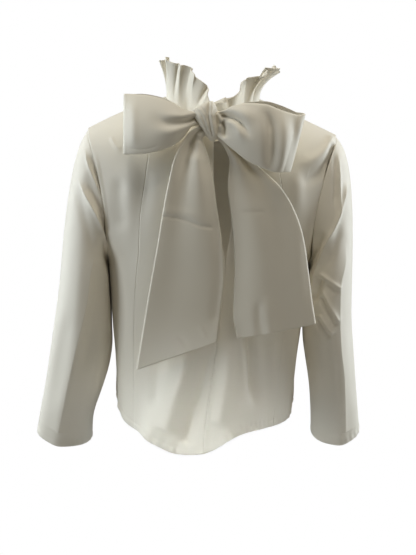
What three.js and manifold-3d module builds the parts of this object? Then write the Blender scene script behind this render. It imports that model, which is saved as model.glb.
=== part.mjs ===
// A long-sleeved, hip-length blouse that ties in a big bow behind the neck, shown as it is worn.
// Millimetres, +Z up, the wearer faces -Y and the wearer's left is +X.
// The origin is in the middle of the neck opening, at the height where the cloth rests on the shoulders.
// Every piece of cloth is a thin wall: a grid of points on its outer face, and the same grid moved inwards.

import * as THREE from "three";
import { mergeVertices } from "three/addons/utils/BufferGeometryUtils.js";
import Module from "manifold-3d";

const wasm = await Module();
wasm.setup();

// Cloth
const WALL = 1.4; // single cloth of the body and sleeves
const TIE_WALL = 1.8; // the tie is folded double
const SEAM_GAP = 0.4; // between two pieces that are sewn together
const KNOT_GAP = 0.6; // between the knot and the pieces that run into it

// Neck and shoulders
const NECK_HALF_WIDTH = 74;
const NECK_POINT_Z = 12;
const SEAM_Y = 5; // where the shoulder and side seams run, front to back
const BACK_NECK = { depth: 55, drop: 32, dip: 1.25 };
const FRONT_NECK = { depth: 67, drop: 74, dip: 1.5 };
const SHOULDER = { x: 200, round: 1.7, left: { slope: 30, fall: 24 }, right: { slope: 50, fall: 4 } };
const NECK_SHARE = 0.4; // the neck's share of a panel's top edge
const PRINCESS_SHARE = 0.6; // the curved back seam's share of a panel's grid, from the centre to the side
const PRINCESS_TOP = 0.49; // where that seam meets the shoulder, as a share of the top edge

// How many cells each grid has
const CENTRE_BACK_CELLS = 8;
const SIDE_BACK_CELLS = 6;
const FRONT_HALF_CELLS = 10;
const SHOULDER_CELLS = 5;
const CAP_CELLS = 8;
const SLEEVE_CELLS = 13;

// The body's level sections, from the hem to the yoke. zMid and yMid are on the centre line; x, y and z are at the
// side seam, or on the armhole above the underarm. seamLeft and seamRight are how far from the centre line the curved
// back seams lie, and cells is how many rows of cells lead up to the section.
const BACK_SECTIONS = [
  { name: "hem", zMid: -550, yMid: 117, x: 146, y: 0, z: -491, seamLeft: 115, seamRight: 115, cells: 0 },
  { name: "hip", zMid: -490, yMid: 114, x: 148, y: 0, z: -450, seamLeft: 117, seamRight: 117, cells: 3 },
  { name: "high hip", zMid: -430, yMid: 109, x: 151, y: 0, z: -405, seamLeft: 120, seamRight: 120, cells: 3 },
  { name: "waist", zMid: -370, yMid: 105, x: 156, y: 0, z: -360, seamLeft: 121, seamRight: 121, cells: 3 },
  { name: "ribs", zMid: -305, yMid: 107, x: 160, y: 0, z: -305, seamLeft: 120, seamRight: 119, cells: 3 },
  { name: "underarm", zMid: -245, yMid: 113, x: 165, y: 0, z: -250, seamLeft: 117, seamRight: 115, cells: 3 },
  { name: "armhole foot", zMid: -232, yMid: 115, x: 165, y: 24, z: -243, seamLeft: 115, seamRight: 114, cells: 1 },
  { name: "armhole turn", zMid: -212, yMid: 116, x: 165, y: 44, z: -222, seamLeft: 114, seamRight: 112, cells: 1 },
  { name: "low blade", zMid: -184, yMid: 116, x: 165, y: 57, z: -191, seamLeft: 112, seamRight: 110, cells: 1 },
  { name: "blade", zMid: -147, yMid: 113, x: 169, y: 62, z: -155, seamLeft: 108, seamRight: 107, cells: 2 },
  { name: "yoke", zMid: -102, yMid: 102, x: 178, y: 58, z: -112, seamLeft: 101, seamRight: 100, cells: 2 },
];
const FRONT_SECTIONS = [
  { name: "hem", zMid: -532, yMid: -120, x: 146, y: 0, z: -491, cells: 0 },
  { name: "hip", zMid: -478, yMid: -121, x: 148, y: 0, z: -450, cells: 3 },
  { name: "high hip", zMid: -424, yMid: -119, x: 151, y: 0, z: -405, cells: 3 },
  { name: "waist", zMid: -366, yMid: -117, x: 156, y: 0, z: -360, cells: 3 },
  { name: "ribs", zMid: -305, yMid: -121, x: 160, y: 0, z: -305, cells: 3 },
  { name: "underarm", zMid: -248, yMid: -127, x: 165, y: 0, z: -250, cells: 3 },
  { name: "armhole foot", zMid: -236, yMid: -127, x: 164, y: -22, z: -243, cells: 1 },
  { name: "armhole turn", zMid: -219, yMid: -126, x: 162, y: -40, z: -222, cells: 1 },
  { name: "low bust", zMid: -195, yMid: -122, x: 161, y: -51, z: -191, cells: 1 },
  { name: "chest", zMid: -163, yMid: -112, x: 164, y: -55, z: -155, cells: 2 },
  { name: "yoke", zMid: -124, yMid: -97, x: 173, y: -50, z: -112, cells: 2 },
];
const SQUARENESS = 0.92; // under 1 makes a section fuller than an ellipse
// Below the side seams the hem is slit, and the front stands out past the back.
const SIDE_VENT = { from: -437, full: -478, back: -1.5, front: 3, apart: 4 };
const FIRST_UPPER_SECTION = 6; // the sections from here up end on the armhole
const HEM_FOLLOW_CELLS = 7; // the rows above the hem that follow its line

// The hem's line across the back, from the right side seam (-1) to the left one (1), as measured in the photo.
const BACK_HEM = [
  { share: -1, z: -489 },
  { share: -0.8, z: -500 },
  { share: -0.6, z: -507 },
  { share: -0.32, z: -510 },
  { share: -0.2, z: -516 },
  { share: -0.12, z: -528 },
  { share: -0.05, z: -541 },
  { share: 0.06, z: -548 },
  { share: 0.19, z: -549 },
  { share: 0.28, z: -541 },
  { share: 0.38, z: -533 },
  { share: 0.5, z: -523 },
  { share: 0.66, z: -514 },
  { share: 0.82, z: -501 },
  { share: 1, z: -489 },
];

// The centre back seam wanders to the wearer's right as it rises, and above z -222 it parts into a keyhole.
const CENTRE_BACK = [
  { z: -560, x: 0, part: 0 },
  { z: -500, x: -2, part: 0 },
  { z: -450, x: -8, part: 0 },
  { z: -398, x: -15, part: 0 },
  { z: -300, x: -22, part: 0 },
  { z: -238, x: -26, part: 0 },
  { z: -215, x: -25, part: 4 },
  { z: -180, x: -22, part: 12 },
  { z: -140, x: -19, part: 14 },
  { z: -100, x: -17, part: 13 },
  { z: -60, x: -15, part: 12 },
  { z: -15, x: -12, part: 10 },
];

// Large soft folds down the cloth, from the height top, where their share is from, to the hem, where it is to.
// depth over 0 stands out.
const BACK_FOLDS = [
  { from: 0.52, to: 0.55, width: 0.09, depth: -6, top: -300 },
  { from: 0, to: 0.43, width: 0.1, depth: 7, top: -310 },
  { from: -0.07, to: 0.15, width: 0.07, depth: -4, top: -330 },
  { from: -0.3, to: -0.16, width: 0.08, depth: 7, top: -280 },
  { from: -0.5, to: -0.55, width: 0.14, depth: -8, top: -270 },
  { from: -0.78, to: -0.8, width: 0.07, depth: 3, top: -330 },
];
const FRONT_FOLDS = [
  { from: 0.58, to: 0.63, width: 0.09, depth: 5, top: -300 },
  { from: 0.42, to: 0.45, width: 0.09, depth: -6, top: -280 },
  { from: 0.18, to: 0.23, width: 0.1, depth: 6, top: -270 },
  { from: 0, to: -0.03, width: 0.09, depth: -5, top: -300 },
  { from: -0.24, to: -0.27, width: 0.1, depth: 6, top: -260 },
  { from: -0.44, to: -0.48, width: 0.09, depth: -6, top: -290 },
  { from: -0.62, to: -0.67, width: 0.08, depth: 5, top: -310 },
];
const BUST = { share: 0.5, z: -232, wide: 0.26, tall: 62, rise: 9 };

// The sleeve's rings from the upper arm to the cuff: the inner and outer edge, the centre front to back, and half
// the depth.
const LEFT_RINGS = [
  { z: -286, inner: 153, outer: 243, y: 4, deep: 62 },
  { z: -350, inner: 152, outer: 250.5, y: 6, deep: 56 },
  { z: -412, inner: 157, outer: 259.5, y: 1, deep: 48 },
  { z: -460, inner: 170, outer: 267.5, y: -11, deep: 44 },
  { z: -520, inner: 188.5, outer: 279.5, y: -29, deep: 42 },
  { z: -565, inner: 192, outer: 288, y: -43, deep: 41 },
];
const RIGHT_RINGS = [
  { z: -284, inner: 154, outer: 237, y: 4, deep: 63 },
  { z: -345, inner: 155, outer: 239, y: 6, deep: 58 },
  { z: -400, inner: 164, outer: 246, y: 0, deep: 53 },
  { z: -450, inner: 174, outer: 253, y: -13, deep: 50 },
  { z: -505, inner: 181, outer: 262, y: -32, deep: 48 },
  { z: -546, inner: 184.5, outer: 268.5, y: -46, deep: 46 },
];
const SLEEVE_CREASE = { column: 6, rise: 5.5, from: -225, full: -330, turn: 8 };
const SLEEVE_CLEAR = 2.4; // how far the inner side of a sleeve, pressed to the body, stays off it
// How the sleeve leaves the shoulder seam: outwards and down
const LEFT_CAP = { out: 28, down: 26 };
const RIGHT_CAP = { out: 35, down: 20 };

// The tie's standing part round the neck: where its foot and its top edge run, in order from the knot round the
// wearer's left, the front and the right, and back to the knot. on is the share of the foot that stays sewn down.
const COLLAR_STATIONS = [
  { at: 0.0, foot: [14, 98, -18], top: [5, 100, 4], on: 0 },
  { at: 0.05, foot: [25, 84, -16], top: [9, 86, 24], on: 0 },
  { at: 0.1, foot: [34, 70, -11], top: [20, 74, 41], on: 0.3 },
  { at: 0.16, foot: [45, 56, -6], top: [36, 62, 52], on: 1 },
  { at: 0.23, foot: [62, 38, 4], top: [60, 46, 66], on: 1 },
  { at: 0.31, foot: [74, 5, 12], top: [80, 8, 70], on: 1 },
  { at: 0.4, foot: [60, -34, -20], top: [76, -44, 48], on: 1 },
  { at: 0.5, foot: [0, -62, -62], top: [0, -86, 2], on: 1 },
  { at: 0.6, foot: [-60, -34, -20], top: [-82, -44, 46], on: 1 },
  { at: 0.69, foot: [-74, 5, 12], top: [-104, 6, 61], on: 1 },
  { at: 0.77, foot: [-64, 36, 4], top: [-90, 42, 58], on: 1 },
  { at: 0.83, foot: [-54, 52, -4], top: [-64, 58, 48], on: 1 },
  { at: 0.88, foot: [-42, 66, -6], top: [-48, 68, 35], on: 0.3 },
  { at: 0.94, foot: [-26, 84, -14], top: [-26, 86, 9], on: 0 },
  { at: 1.0, foot: [-4, 98, -18], top: [-2, 100, 2], on: 0 },
];
const COLLAR = { waves: 16, cellsPerWave: 6, rows: 5, swing: 7.5, footSwing: 1.2, edge: 4, ends: 0.07, flare: 2.2 };

// The knot's level sections from its foot to its top: a tight wrap of the tie that leans to the wearer's left
const KNOT = [
  { z: -54, left: 3, right: -5, deep: 4 },
  { z: -46, left: 9.5, right: -9, deep: 10 },
  { z: -36, left: 16, right: -9.5, deep: 14 },
  { z: -26, left: 23, right: -9, deep: 16 },
  { z: -16, left: 28.5, right: -8.5, deep: 16 },
  { z: -8, left: 29, right: -7.5, deep: 14 },
  { z: 0, left: 20, right: -5, deep: 11 },
  { z: 6, left: 7, right: -1, deep: 5 },
];
const KNOT_SHAPE = { y: 108, around: 28, down: 14, ridges: 7, ridge: 0.06 };

// The bow's loops, from the knot to the end: the top and bottom edges of the near layer, how far behind it the far
// layer lies, and how much higher the far layer's top edge stands.
const LEFT_LOOP = [
  { out: 16, xTop: 18, zTop: -14, xFoot: 16, zFoot: -29, yTop: 109, yFoot: 109, apart: 4, lift: 0 },
  { out: 30, xTop: 31, zTop: -11, xFoot: 30, zFoot: -32, yTop: 112, yFoot: 113, apart: 8, lift: 0 },
  { out: 44, xTop: 44, zTop: -8, xFoot: 43, zFoot: -48, yTop: 113, yFoot: 118, apart: 15, lift: 0 },
  { out: 58, xTop: 58, zTop: 0, xFoot: 58, zFoot: -61, yTop: 111, yFoot: 123, apart: 21, lift: 1 },
  { out: 80, xTop: 80, zTop: 8, xFoot: 80, zFoot: -70, yTop: 104, yFoot: 125, apart: 24, lift: 2 },
  { out: 105, xTop: 105, zTop: 12, xFoot: 104, zFoot: -75, yTop: 94, yFoot: 121, apart: 20, lift: 2 },
  { out: 130, xTop: 131, zTop: 13, xFoot: 128, zFoot: -77, yTop: 82, yFoot: 112, apart: 11, lift: 0 },
];
const RIGHT_LOOP = [
  { out: 2, xTop: 0, zTop: -12, xFoot: 0, zFoot: -38, yTop: 110, yFoot: 112, apart: 3, lift: 0 },
  { out: 16, xTop: -16, zTop: -8, xFoot: -14, zFoot: -50, yTop: 115, yFoot: 120, apart: 10, lift: 0 },
  { out: 32, xTop: -32, zTop: 0, xFoot: -32, zFoot: -64, yTop: 121, yFoot: 129, apart: 20, lift: 0 },
  { out: 54, xTop: -54, zTop: 4, xFoot: -56, zFoot: -81, yTop: 128, yFoot: 138, apart: 29, lift: 2 },
  { out: 78, xTop: -78, zTop: 3, xFoot: -80, zFoot: -91, yTop: 131, yFoot: 142, apart: 34, lift: 5 },
  { out: 100, xTop: -102, zTop: -5, xFoot: -97, zFoot: -96, yTop: 126, yFoot: 139, apart: 33, lift: 8 },
  { out: 124, xTop: -128, zTop: -12, xFoot: -108, zFoot: -96, yTop: 115, yFoot: 130, apart: 24, lift: 5 },
];
// How a loop's cloth is laid. turn is the share of its length that goes round its end.
const LOOP = { cells: 30, across: 8, bulge: 5, turn: 0.26 };

// The bow's hanging ends, from the knot down: both edges, how far they stand behind the wearer, and the depth of
// the gathers that the knot makes. The last row is the slanting end.
const LEFT_TAIL = [
  { down: 0, xOut: 17, xIn: 8, zOut: -31, zIn: -42, yOut: 110, yIn: 110, gather: 2 },
  { down: 12, xOut: 30, xIn: 15, zOut: -37, zIn: -51, yOut: 114, yIn: 116, gather: 6 },
  { down: 32, xOut: 44, xIn: 11, zOut: -57, zIn: -62, yOut: 119, yIn: 122, gather: 11 },
  { down: 58, xOut: 56, xIn: 3, zOut: -83, zIn: -84, yOut: 125, yIn: 126, gather: 11 },
  { down: 90, xOut: 63, xIn: -4, zOut: -116, zIn: -115, yOut: 129, yIn: 130, gather: 8 },
  { down: 125, xOut: 69, xIn: -9, zOut: -150, zIn: -148, yOut: 131, yIn: 132, gather: 6 },
  { down: 185, xOut: 78, xIn: -19, zOut: -212, zIn: -205, yOut: 130, yIn: 133, gather: 3 },
  { down: 250, xOut: 88, xIn: -24, zOut: -276, zIn: -262, yOut: 127, yIn: 131, gather: 2 },
  { down: 315, xOut: 98, xIn: -20, zOut: -345, zIn: -314, yOut: 123, yIn: 128, gather: 1 },
  { down: 375, xOut: 107.5, xIn: -16, zOut: -412, zIn: -362, yOut: 120, yIn: 127, gather: 1 },
];
const RIGHT_TAIL = [
  { down: 0, xOut: -9, xIn: -3, zOut: -38, zIn: -46, yOut: 104, yIn: 105, gather: 2 },
  { down: 18, xOut: -32, xIn: -18, zOut: -58, zIn: -60, yOut: 103, yIn: 106, gather: 3 },
  { down: 45, xOut: -66, xIn: -29, zOut: -86, zIn: -86, yOut: 105, yIn: 112, gather: 5 },
  { down: 80, xOut: -106, xIn: -27, zOut: -121, zIn: -120, yOut: 111, yIn: 119, gather: 5 },
  { down: 115, xOut: -127, xIn: -32, zOut: -152, zIn: -157, yOut: 117, yIn: 124, gather: 4 },
  { down: 160, xOut: -144, xIn: -38, zOut: -196, zIn: -204, yOut: 120, yIn: 126, gather: 4 },
  { down: 215, xOut: -154, xIn: -41, zOut: -248, zIn: -260, yOut: 120, yIn: 126, gather: 3 },
  { down: 265, xOut: -162, xIn: -41, zOut: -296, zIn: -314, yOut: 119, yIn: 125, gather: 3 },
  { down: 305, xOut: -169, xIn: -48, zOut: -331, zIn: -357, yOut: 118, yIn: 124, gather: 3 },
];
const TAIL = { cells: 22, across: 8, folds: 1.5 };

// Smooth, never overshooting interpolation of one named column of a table whose rows are in order of key.
function sample(table, key, at, column) {
  const n = table.length;
  const sign = table[n - 1][key] > table[0][key] ? 1 : -1;
  const xs = table.map((row) => row[key] * sign);
  const ys = table.map((row) => row[column]);
  const x = THREE.MathUtils.clamp(at * sign, xs[0], xs[n - 1]);
  let i = 0;
  while (i < n - 2 && x > xs[i + 1]) i += 1;
  const slope = (k) => (ys[k + 1] - ys[k]) / (xs[k + 1] - xs[k]);
  const tangent = (k) => {
    if (k === 0) return slope(0);
    if (k === n - 1) return slope(n - 2);
    const before = slope(k - 1);
    const after = slope(k);
    return before * after <= 0 ? 0 : (2 * before * after) / (before + after);
  };
  const h = xs[i + 1] - xs[i];
  const t = (x - xs[i]) / h;
  const t2 = t * t;
  const t3 = t2 * t;
  return (
    ys[i] * (2 * t3 - 3 * t2 + 1) +
    ys[i + 1] * (3 * t2 - 2 * t3) +
    tangent(i) * h * (t3 - 2 * t2 + t) +
    tangent(i + 1) * h * (t3 - t2)
  );
}

const vec = (x, y, z) => new THREE.Vector3(x, y, z);
const smooth = (from, to, at) => THREE.MathUtils.smoothstep(at, from, to);
const mix = (a, b, t) => a.clone().lerp(b, t);

function cubic(p0, p1, p2, p3, t) {
  const u = 1 - t;
  return p0
    .clone()
    .multiplyScalar(u * u * u)
    .addScaledVector(p1, 3 * u * u * t)
    .addScaledVector(p2, 3 * u * t * t)
    .addScaledVector(p3, t * t * t);
}

// Outward unit normals of a grid of points; around is true where its columns close into a ring.
function normalsOf(grid, around, sign) {
  const rows = grid.length;
  const columns = grid[0].length;
  return grid.map((row, i) =>
    row.map((_, j) => {
      const up = grid[Math.min(i + 1, rows - 1)][j].clone().sub(grid[Math.max(i - 1, 0)][j]);
      const right = around ? (j + 1) % columns : Math.min(j + 1, columns - 1);
      const left = around ? (j + columns - 1) % columns : Math.max(j - 1, 0);
      const across = row[right].clone().sub(row[left]);
      return across.cross(up).normalize().multiplyScalar(sign);
    }),
  );
}

function averageNormals(a, b) {
  const sum = a.clone().add(b).normalize();
  a.copy(sum);
  b.copy(sum);
}

// A closed wall between a grid of outer points and the same points moved inwards along their normals.
function wall(outer, normals, thickness, around = false) {
  const rows = outer.length;
  const columns = outer[0].length;
  const inner = outer.map((row, i) => row.map((p, j) => p.clone().addScaledVector(normals[i][j], -thickness)));
  const points = [...outer.flat(), ...inner.flat()];
  const index = (side, i, j) => side * rows * columns + i * columns + (j % columns);
  const triangles = [];
  const quad = (a, b, c, d) => {
    const short = points[a].distanceToSquared(points[c]) <= points[b].distanceToSquared(points[d]);
    triangles.push(...(short ? [a, b, c, a, c, d] : [a, b, d, b, c, d]));
  };
  const lastColumn = around ? columns : columns - 1;
  for (let i = 0; i < rows - 1; i += 1) {
    for (let j = 0; j < lastColumn; j += 1) {
      quad(index(0, i, j), index(0, i, j + 1), index(0, i + 1, j + 1), index(0, i + 1, j));
      quad(index(1, i, j), index(1, i + 1, j), index(1, i + 1, j + 1), index(1, i, j + 1));
    }
    if (!around) {
      quad(index(0, i, 0), index(0, i + 1, 0), index(1, i + 1, 0), index(1, i, 0));
      const j = columns - 1;
      quad(index(0, i + 1, j), index(0, i, j), index(1, i, j), index(1, i + 1, j));
    }
  }
  for (let j = 0; j < lastColumn; j += 1) {
    quad(index(0, 0, j + 1), index(0, 0, j), index(1, 0, j), index(1, 0, j + 1));
    const i = rows - 1;
    quad(index(0, i, j), index(0, i, j + 1), index(1, i, j + 1), index(1, i, j));
  }
  return facingOut(points, triangles);
}

// A geometry of shared points, turned so that its faces point outwards.
function facingOut(points, triangles) {
  let volume = 0;
  for (let k = 0; k < triangles.length; k += 3) {
    const [a, b, c] = [points[triangles[k]], points[triangles[k + 1]], points[triangles[k + 2]]];
    volume += a.dot(b.clone().cross(c));
  }
  if (volume < 0) triangles.reverse();
  const geometry = new THREE.BufferGeometry();
  geometry.setAttribute("position", new THREE.Float32BufferAttribute(points.flatMap((p) => p.toArray()), 3));
  geometry.setIndex(triangles);
  return geometry;
}

function solidOf(geometry) {
  const merged = geometry.clone();
  merged.deleteAttribute("normal");
  merged.deleteAttribute("uv");
  const shared = mergeVertices(merged);
  return new wasm.Manifold(
    new wasm.Mesh({
      numProp: 3,
      vertProperties: shared.attributes.position.array,
      triVerts: new Uint32Array(shared.index.array),
    }),
  );
}

// The largest body of a solid, as a geometry.
function geometryOf(solid) {
  const body = solid.decompose().sort((a, b) => b.volume() - a.volume())[0];
  const mesh = body.getMesh();
  const geometry = new THREE.BufferGeometry();
  geometry.setAttribute("position", new THREE.BufferAttribute(new Float32Array(mesh.vertProperties), 3));
  geometry.setIndex([...mesh.triVerts]);
  return geometry;
}

const cutBy = (geometry, cutter) => geometryOf(solidOf(geometry).subtract(solidOf(cutter)));

// The body

// The top edge of a front or back panel: half the neckline, then the shoulder seam.
function topEdge(share, neck, facing, side) {
  if (share <= NECK_SHARE) {
    const turn = ((share / NECK_SHARE) * Math.PI) / 2;
    return vec(
      NECK_HALF_WIDTH * Math.sin(turn),
      SEAM_Y + facing * neck.depth * Math.cos(turn),
      NECK_POINT_Z - neck.drop * Math.max(Math.cos(turn), 0) ** neck.dip,
    );
  }
  const along = (share - NECK_SHARE) / (1 - NECK_SHARE);
  const { slope, fall } = side > 0 ? SHOULDER.left : SHOULDER.right;
  return vec(
    NECK_HALF_WIDTH + (SHOULDER.x - NECK_HALF_WIDTH) * along,
    SEAM_Y,
    NECK_POINT_Z - slope * along - fall * along ** SHOULDER.round,
  );
}

// How far round a level section goes, and how square it is.
function roundness(section) {
  return {
    arc: Math.acos(THREE.MathUtils.clamp(section.y / section.yMid, 0, 1)),
    power: THREE.MathUtils.lerp(SQUARENESS, 1, Math.min(1, Math.abs(section.y) / 55)),
  };
}

// A point of a level section, from the centre line (share 0) to the side seam or armhole (share 1).
function sectionPoint(section, share) {
  const { arc, power } = roundness(section);
  const across = Math.sin(share * arc) / Math.sin(arc);
  const forward = (Math.cos(share * arc) - Math.cos(arc)) / (1 - Math.cos(arc));
  return vec(
    section.x * across ** power,
    section.y + (section.yMid - section.y) * Math.max(forward, 0) ** power,
    section.zMid + (section.z - section.zMid) * share ** 2,
  );
}

// The share at which a level section is that far from the centre line.
function shareAt(section, away) {
  const { arc, power } = roundness(section);
  return Math.asin((away / section.x) ** (1 / power) * Math.sin(arc)) / arc;
}

// Every row of sections, with the rows between them interpolated.
function levelRows(sections) {
  const numbered = sections.map((section, order) => ({ ...section, order }));
  const rows = [{ ...numbered[0], order: 0 }];
  numbered.slice(1).forEach((section, k) => {
    for (let step = 1; step <= section.cells; step += 1) {
      const order = k + step / section.cells;
      const row = { order };
      for (const column of Object.keys(section).filter((key) => typeof section[key] === "number")) {
        row[column] = step === section.cells ? section[column] : sample(numbered, "order", order, column);
      }
      row.order = order;
      rows.push(row);
    }
  });
  return rows;
}

// Moves the grid's even shares so that the column of the curved seam falls on share seam.
function warp(share, seam) {
  if (seam === undefined) return share;
  if (share <= PRINCESS_SHARE) return (share / PRINCESS_SHARE) * seam;
  return seam + ((share - PRINCESS_SHARE) / (1 - PRINCESS_SHARE)) * (1 - seam);
}

// The same along the top edge, where the neck's share stays as it is.
function warpTop(share, isBack) {
  if (!isBack || share <= NECK_SHARE) return share;
  if (share <= PRINCESS_SHARE) {
    return NECK_SHARE + ((share - NECK_SHARE) / (PRINCESS_SHARE - NECK_SHARE)) * (PRINCESS_TOP - NECK_SHARE);
  }
  return warp(share, PRINCESS_TOP);
}

const underarmRow = BACK_SECTIONS.slice(0, FIRST_UPPER_SECTION).reduce((sum, s) => sum + s.cells, 0);

// Half a panel: rows from the hem up to the top edge, columns from the centre line to the side.
function halfPanel({ sections, neck, facing, side, shares, hem, centre, folds, bust }) {
  const levels = levelRows(sections);
  const grid = levels.map((level) => {
    const seam = facing > 0 ? shareAt(level, side > 0 ? level.seamLeft : level.seamRight) : undefined;
    return shares.map((share) => sectionPoint(level, warp(share, seam)));
  });
  const last = levels.length - 1;
  const below = grid[last - 1];
  const yoke = grid[last];
  for (let step = 1; step <= SHOULDER_CELLS; step += 1) {
    const t = step / SHOULDER_CELLS;
    grid.push(
      shares.map((share, j) => {
        const top = topEdge(warpTop(share, facing > 0), neck, facing, side);
        const reach = yoke[j].distanceTo(top) * 0.42;
        const rise = yoke[j].clone().sub(below[j]).normalize().multiplyScalar(reach);
        const steep = share < NECK_SHARE ? 0.35 + 0.4 * (1 - share / NECK_SHARE) : 0.35;
        const leave = vec(0, facing, -steep).normalize().multiplyScalar(reach);
        return cubic(yoke[j], yoke[j].clone().add(rise), top.clone().add(leave), top, t);
      }),
    );
  }
  if (hem) {
    for (let i = 0; i < HEM_FOLLOW_CELLS; i += 1) {
      const follow = (1 - i / HEM_FOLLOW_CELLS) ** 1.5;
      shares.forEach((share, j) => {
        const level = sections[0].zMid + (sections[0].z - sections[0].zMid) * share ** 2;
        grid[i][j].z += (sample(hem, "share", share * side, "z") - level) * follow;
      });
    }
  }
  const normals = normalsOf(grid, false, -facing);
  grid.forEach((row, i) =>
    row.forEach((p, j) => {
      let lift = 0;
      for (const fold of folds) {
        const fallen = THREE.MathUtils.clamp((fold.top - p.z) / (fold.top - sections[0].zMid), 0, 1);
        const off = (shares[j] * side - THREE.MathUtils.lerp(fold.from, fold.to, fallen)) / fold.width;
        const full = 0.4 * -fold.top - 0.6 * sections[0].zMid;
        lift += fold.depth * Math.exp(-off * off) * smooth(-fold.top, full, -p.z);
      }
      if (bust) {
        const offShare = (shares[j] - bust.share) / bust.wide;
        const offZ = (p.z - bust.z) / bust.tall;
        lift += bust.rise * Math.exp(-offShare * offShare - offZ * offZ);
      }
      p.addScaledVector(normals[i][j], lift * (1 - shares[j] ** 6));
      const slit = smooth(-SIDE_VENT.from, -SIDE_VENT.full, -p.z) * shares[j] ** 8;
      p.x += slit * (facing > 0 ? SIDE_VENT.back : SIDE_VENT.front);
      p.y += slit * facing * SIDE_VENT.apart;
    }),
  );
  grid.forEach((row, i) =>
    row.forEach((p, j) => {
      p.x *= side;
      if (!centre) return;
      const drift = sample(centre, "z", p.z, "x") + side * (sample(centre, "z", p.z, "part") + SEAM_GAP / 2);
      const reach = 1 - (1 - NECK_SHARE) * Math.max(0, (i - last) / SHOULDER_CELLS);
      p.x += drift * Math.max(0, 1 - shares[j] / reach) ** 1.6;
    }),
  );
  return grid;
}

const spread = (from, to, cells) =>
  Array.from({ length: cells + 1 }, (_, k) => from + ((to - from) * k) / cells);
const backShares = [
  ...spread(0, PRINCESS_SHARE, CENTRE_BACK_CELLS).map((s) =>
    Math.abs(s - NECK_SHARE) < PRINCESS_SHARE / CENTRE_BACK_CELLS / 2 ? NECK_SHARE : s,
  ),
  ...spread(PRINCESS_SHARE, 1, SIDE_BACK_CELLS).slice(1),
];
const frontShares = spread(0, 1, FRONT_HALF_CELLS);

const backHalf = (side) =>
  halfPanel({
    sections: BACK_SECTIONS,
    neck: BACK_NECK,
    facing: 1,
    side,
    shares: backShares,
    hem: BACK_HEM,
    centre: CENTRE_BACK,
    folds: BACK_FOLDS,
  });
const frontHalf = (side) =>
  halfPanel({
    sections: FRONT_SECTIONS,
    neck: FRONT_NECK,
    facing: -1,
    side,
    shares: frontShares,
    folds: FRONT_FOLDS,
    bust: BUST,
  });

// The front is one panel from side seam to side seam, so its two halves are joined on the centre line.
const backs = { left: backHalf(1), right: backHalf(-1) };
const front = frontHalf(-1).map((row, i) => [...row.slice(1).reverse(), ...frontHalf(1)[i]]);
const backNormals = { left: normalsOf(backs.left, false, -1), right: normalsOf(backs.right, false, 1) };
const frontNormals = normalsOf(front, false, 1);
const topRow = front.length - 1;
const frontColumn = (side, share) => FRONT_HALF_CELLS + side * Math.round(share * FRONT_HALF_CELLS);
const backSide = backShares.length - 1;

// Moves a border point towards the next point inside, which opens half a seam's gap.
function pull(p, towards) {
  p.addScaledVector(towards.clone().sub(p).normalize(), SEAM_GAP / 2);
}

for (const [name, side] of [["left", 1], ["right", -1]]) {
  const back = backs[name];
  const edge = frontColumn(side, 1);
  for (let i = 0; i <= underarmRow; i += 1) {
    averageNormals(backNormals[name][i][backSide], frontNormals[i][edge]);
    pull(back[i][backSide], back[i][backSide - 1]);
    pull(front[i][edge], front[i][edge - side]);
  }
  const neckColumn = backShares.indexOf(NECK_SHARE);
  for (let j = neckColumn; j <= backSide; j += 1) {
    const lean = vec(0.25 * backShares[j] * side, 0, 0);
    backNormals[name][topRow][j].set(0, 0, 1).add(lean).normalize();
    pull(back[topRow][j], back[topRow - 1][j]);
  }
  for (let k = Math.round(NECK_SHARE * FRONT_HALF_CELLS); k <= FRONT_HALF_CELLS; k += 1) {
    const j = FRONT_HALF_CELLS + side * k;
    const lean = vec((0.25 * k * side) / FRONT_HALF_CELLS, 0, 0);
    frontNormals[topRow][j].set(0, 0, 1).add(lean).normalize();
    pull(front[topRow][j], front[topRow - 1][j]);
  }
}

// The sleeves

// The armhole's points, from the underarm up the back to the shoulder and down the front, with where each is kept.
function armhole(name, side) {
  const edge = frontColumn(side, 1);
  const spots = [];
  for (let i = underarmRow; i <= topRow; i += 1) {
    spots.push({ p: backs[name][i][backSide], n: backNormals[name][i][backSide] });
  }
  const mates = [];
  for (let i = topRow; i >= underarmRow; i -= 1) mates.push({ p: front[i][edge], n: frontNormals[i][edge] });
  spots[spots.length - 1].twin = mates.shift();
  spots[0].twin = mates.pop();
  return [...spots, ...mates];
}

// Half the body's width at the level z and the depth y.
function bodyReach(y, z) {
  const sections = y > 0 ? BACK_SECTIONS : FRONT_SECTIONS;
  const below = sections.filter((section) => section.y === 0);
  const away = Math.min(1, Math.abs(y / sample(below, "z", z, "yMid"))) ** (1 / SQUARENESS);
  return sample(below, "z", z, "x") * Math.sqrt(1 - away * away) ** SQUARENESS;
}

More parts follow.
